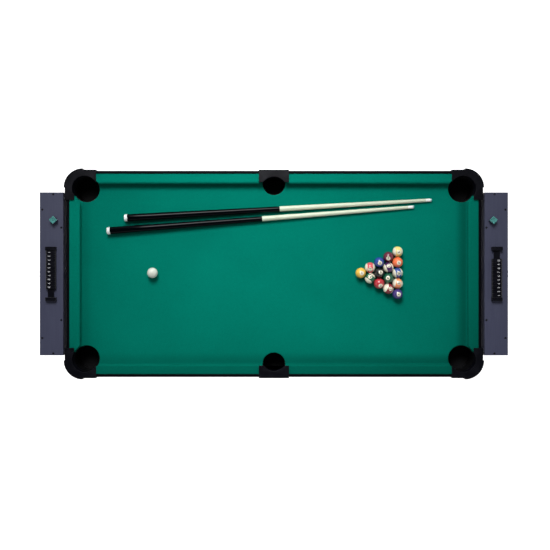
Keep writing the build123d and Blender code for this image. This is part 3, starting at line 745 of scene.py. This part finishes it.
def build_balls():
    """Solid-coloured balls up to 8, striped ones above, and the cue ball."""
    for number, colour in BALL_COLOURS.items():
        material = resin_material(f"resin_{number:02d}", colour, number > 8)
        build_ball(number, material)
    bm = bmesh.new()
    round_solid(bm, BALL_RADIUS)
    place = Matrix.Translation(ball_centre("cue_ball"))
    white = cue_ball_material("cue_ball_resin")
    finish_mesh(bm, "cue_ball_resin", [white], "cue_ball", ["cue_ball"], place)


# ------------------------------------------------------------------ cues


def far_points(node):
    """The two ends of a long node's axis, from the middles of its end faces, and their radii."""
    bm = welded(node)
    low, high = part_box(node)
    ends = []
    for x, sign in ((low.x, 1), (high.x, -1)):
        near = [v.co for v in bm.verts if (v.co.x - x) * sign < 3 * MM]
        middle = sum(near, Vector()) / len(near)
        ends.append((middle, max((p - middle).length for p in near)))
    bm.free()
    return ends


def build_cue(name):
    """A two-piece cue along its own z: bumper, lacquered butt, maple shaft, ferrule and tip."""
    butt, shaft = far_points(name + "_butt"), far_points(name + "_shaft")
    start, end = butt[0][0], shaft[1][0]
    along = (end - start).normalized()
    sideways = along.cross(UP).normalized()
    turn = Matrix((sideways, along.cross(sideways), along)).transposed().to_4x4()
    place = Matrix.Translation(start) @ turn
    butt_length = (butt[1][0] - start).length
    shaft_end = (end - start).length
    wide, joint, slim = butt[0][1], butt[1][1], shaft[1][1]

    def radius(height):
        """The cue's radius: nearly straight at the butt, then an even taper."""
        if height < butt_length:
            return wide + (joint - wide) * height / butt_length
        return joint + (slim - joint) * (height - butt_length) / (shaft_end - butt_length)

    def tapered(first, last, count):
        """Profile points of the taper, count equal steps from first to last."""
        heights = [first + (last - first) * i / count for i in range(count + 1)]
        return [(height, radius(height)) for height in heights]

    def finish(kind, materials, node):
        """Makes the turned piece from bm, in place of the cue's CAD node of that ending."""
        finish_mesh(bm, f"{name}_{kind}", materials, name, [f"{name}_{node}"], place)

    bumper_length, dome_radius = 13 * MM, 4 * MM
    rim = wide * 0.97
    profile = [(-bumper_length, 0.0), (-bumper_length, wide * 0.5)]
    for angle in (radians(degrees) for degrees in range(90, -1, -15)):
        height = -bumper_length + dome_radius * (1 - sin(angle))
        profile.append((height, rim - dome_radius * (1 - cos(angle))))
    profile += [(-0.4 * MM, rim), (0.0, wide * 0.95), (0.0, 0.0)]
    bm = bmesh.new()
    lathe(bm, profile)
    finish("bumper_rubber", [bumper_rubber], "bumper")

    collar, collar_length = butt_length - 12 * MM, 3.2 * MM
    proud = joint + 0.12 * MM
    bevel = 0.5 * MM
    profile = [(0.0, 0.0), (0.0, rim), (0.6 * MM, wide)]
    profile += tapered(8 * MM, collar, 24)
    profile += [(butt_length - bevel, joint), (butt_length, joint - bevel), (butt_length, 0.0)]
    bm = bmesh.new()
    lathe(bm, profile)
    collar_end = collar + collar_length
    lathe(bm, [(collar, 0.0), (collar, proud), (collar_end, proud), (collar_end, 0.0)])
    finish("butt_wood", [lacquer], "butt")

    chamfer = 0.7 * MM
    profile = [(butt_length, 0.0), (butt_length, joint - chamfer)]
    profile += [(butt_length + chamfer, joint - 0.1 * MM)]
    profile += tapered(butt_length + 10 * MM, shaft_end - 2 * MM, 30)
    profile += [(shaft_end, slim), (shaft_end, 0.0)]
    bm = bmesh.new()
    lathe(bm, profile)
    finish("shaft_wood", [maple], "shaft")

    ferrule_end = shaft_end + 18 * MM
    crown = ferrule_end + 7 * MM
    bm = bmesh.new()
    profile = [(shaft_end, 0.0), (shaft_end, slim - 0.1 * MM)]
    lathe(bm, profile + [(ferrule_end, slim - 0.2 * MM), (ferrule_end, 0.0)])
    profile = [(ferrule_end, 0.0), (ferrule_end, slim - 0.1 * MM)]
    profile += [(crown - 3 * MM, slim - 0.15 * MM), (crown - 1.4 * MM, slim * 0.86)]
    lathe(bm, profile + [(crown - 0.4 * MM, slim * 0.5), (crown, 0.0)], material=1)
    finish("ferrule_tip", [ferrule_white, tip_leather], "tip")


# ------------------------------------------------------------------ scorers and chalk


def add_figures(bm, words, low, high, sign):
    """Stands white figures on the outboard half of the bead in the box from low to high."""
    middle = (low + high) / 2
    figures = text_solid(words, 9.5 * MM, 0.5 * MM)
    reading = Matrix(((0, -sign, 0), (sign, 0, 0), (0, 0, 1))).to_4x4()
    spot = Vector((middle.x + sign * 6 * MM, middle.y, high.z - 0.35 * MM))
    narrow = Matrix.Diagonal((0.62 if len(words) > 1 else 0.8, 1.0, 1.0, 1.0))
    place = Matrix.Translation(spot) @ reading @ narrow
    bmesh.ops.transform(figures, matrix=place, verts=figures.verts)
    join(bm, figures, 1)


def add_ribs(bm, low, high, sign):
    """Puts three grip ribs on the inboard half of the bead in the box from low to high."""
    middle = (low + high) / 2
    for row in (-1, 0, 1):
        rib = bmesh.new()
        bmesh.ops.create_cube(rib, size=1.0)
        bmesh.ops.scale(rib, vec=(7 * MM, 1.0 * MM, 0.9 * MM), verts=rib.verts)
        bmesh.ops.bevel(rib, geom=rib.edges[:], offset=0.3 * MM, segments=2, affect="EDGES")
        at = Vector((middle.x - sign * 11 * MM, middle.y + row * 3.2 * MM, high.z))
        bmesh.ops.translate(rib, vec=at, verts=rib.verts)
        join(bm, rib, 0)


def build_scorer(side, sign):
    """A rail with ten numbered beads; sign is the side of the table along x."""
    number = 0
    for node in (f"{side}_scorer_beads", f"{side}_last_bead"):
        bm = welded(node)
        round_edges(bm, 0.5, 2)
        boxes = sorted(solid_boxes(node), key=lambda box: box[0].y * sign)
        for low, high in boxes:
            number += 1
            add_figures(bm, str(number), low, high, sign)
            add_ribs(bm, low, high, sign)
        materials = [scorer_plastic, white_ink]
        name = node + "_moulded"
        even_faces(finish_mesh(bm, name, materials, body_of(node), [node]))
    dressed(f"{side}_scorer_rail", scorer_plastic, edge=0.6)


def build_chalk(name):
    """A chalk cube in a paper label, bare and worn on top."""
    bm = welded(name)
    bmesh.ops.triangulate(bm, faces=[f for f in bm.faces if len(f.verts) > 4])
    for face in bm.faces:
        face.material_index = 1 if face.normal.z > 0.5 else 0
    label = label_material(name + "_label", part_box(name)[1].z)
    finish_mesh(bm, name + "_block", [label, chalk_worn], name, [name])


# ------------------------------------------------------------------ consoles


def build_screws():
    """Countersunk heads with a round recess, one for each CAD screw."""
    shank = 1.9 * MM
    bm = bmesh.new()
    for low, high in solid_boxes("console_screws"):
        centre = (low + high) / 2
        head = (high.x - low.x) / 2
        top = high.z
        profile = [(low.z, 0.0), (low.z, shank), (top - 2.4 * MM, shank)]
        profile += [(top - 0.35 * MM, head), (top, head - 0.15 * MM)]
        profile += [(top - 0.02 * MM, 2.3 * MM), (top - 0.9 * MM, 1.3 * MM), (top - 1.0 * MM, 0.0)]
        lathe(bm, profile, segments=16, place=Matrix.Translation((centre.x, centre.y, 0)))
    finish_mesh(bm, "shelf_screws", [black_steel], "stand", ["console_screws"])


def build_consoles():
    """The stand: two consoles with their locks, feet, bushes and screws, and the beam."""
    for side in ("left", "right"):
        dressed(f"{side}_console_shelf", shelf_laminate, edge=0.7)
        dressed(f"{side}_console_outer_panel", panel_laminate, edge=0.7)
        dressed(f"{side}_console_inner_panel", panel_laminate, edge=0.7)
        dressed(f"{side}_lock_knob", knob_plastic, edge=0.6)
        dressed(f"{side}_clamp_pad", pad_rubber, edge=0.5)
    dressed("console_end_boards", panel_laminate, edge=0.5)
    dressed("console_feet", foot_plastic, edge=1.5, segments=3)
    dressed("stretcher_beam", beam_laminate, edge=0.6)
    dressed("pivot_bushes", bush_plastic, edge=0.4)
    build_screws()


def build_playing_body():
    """The rest of the body that turns over, as the CAD has it."""
    dressed("side_aprons", apron_laminate, edge=1.0)
    dressed("end_aprons", apron_laminate, edge=1.0)
    dressed("corner_caps", cap_plastic, edge=1.2, segments=3)
    dressed("side_caps", cap_plastic, edge=1.2, segments=3)
    dressed("pocket_cups", pocket_plastic, edge=0.8)
    dressed("pool_bed", raw_board, edge=0)
    dressed("inner_braces", raw_board, edge=0.3, segments=1)
    dressed("hockey_board", hockey_face, edge=0.3, segments=1)
    dressed("hockey_rails", rail_laminate, edge=1.2)
    dressed("pivot_shafts", steel, edge=0.4)


# ------------------------------------------------------------------ stage


def build_floor():
    """A plain floor just under the feet."""
    bm = bmesh.new()
    bmesh.ops.create_grid(bm, x_segments=4, y_segments=4, size=30.0)
    mesh = bpy.data.meshes.new("floor")
    bm.to_mesh(mesh)
    bm.free()
    mesh.materials.append(floor_material("floor"))
    floor = bpy.data.objects.new("floor", mesh)
    floor.location.z = -0.5 * MM
    bpy.context.scene.collection.objects.link(floor)


def area_light(name, place, target, size, power, spread):
    """A rectangular lamp of power watts that looks at target, its light spread degrees wide."""
    lamp = bpy.data.lights.new(name, "AREA")
    lamp.shape = "RECTANGLE"
    lamp.size, lamp.size_y = size
    lamp.energy = power
    lamp.spread = radians(spread)
    made = bpy.data.objects.new(name, lamp)
    made.location = place
    made.rotation_euler = (Vector(target) - Vector(place)).to_track_quat("-Z", "Y").to_euler()
    made.visible_camera = False
    bpy.context.scene.collection.objects.link(made)


def build_light():
    """A soft box on the far side, in a room that is pale at eye level and dark overhead."""
    area_light("soft_box", (-0.28, 1.95, 3.30), (0.03, -0.20, 0.78), (1.6, 1.5), 15.4, 50)
    world = bpy.data.worlds.new("room")
    bpy.context.scene.world = world
    world.use_nodes = True
    tree = world.node_tree
    shader = tree.nodes["Background"]
    place = tree.nodes.new("ShaderNodeTexCoord")
    split = tree.nodes.new("ShaderNodeSeparateXYZ")
    tree.links.new(place.outputs["Generated"], split.inputs[0])
    fade = tree.nodes.new("ShaderNodeMapRange")
    fades_from, fades_to = 0.20, 0.70  # heights on a sky of radius 1
    pale, dark = 1.10, 0.05
    for key, value in enumerate((fades_from, fades_to, pale, dark), start=1):
        fade.inputs[key].default_value = value
    tree.links.new(split.outputs[2], fade.inputs[0])
    tree.links.new(fade.outputs[0], shader.inputs["Color"])


def build_camera():
    """Straight above the table, three metres over its cushions and a little off its middle."""
    cushion_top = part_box("long_cushions")[1].z
    off_centre = 4.3 * MM
    camera = bpy.data.cameras.new("camera")
    camera.lens = 50.27
    camera.sensor_width = 36.0
    made = bpy.data.objects.new("camera", camera)
    made.location = (off_centre, -off_centre, cushion_top + 3.0)
    bpy.context.scene.collection.objects.link(made)
    bpy.context.scene.camera = made


build_cloth()
build_cushions()
build_playing_body()
build_consoles()
build_balls()
for cue in ("cue_a", "cue_b"):
    build_cue(cue)
build_scorer("left", -1)
build_scorer("right", 1)
for cube in ("chalk_a", "chalk_b"):
    build_chalk(cube)
build_floor()
build_light()
build_camera()
bpy.context.scene.view_settings.view_transform = "Standard"
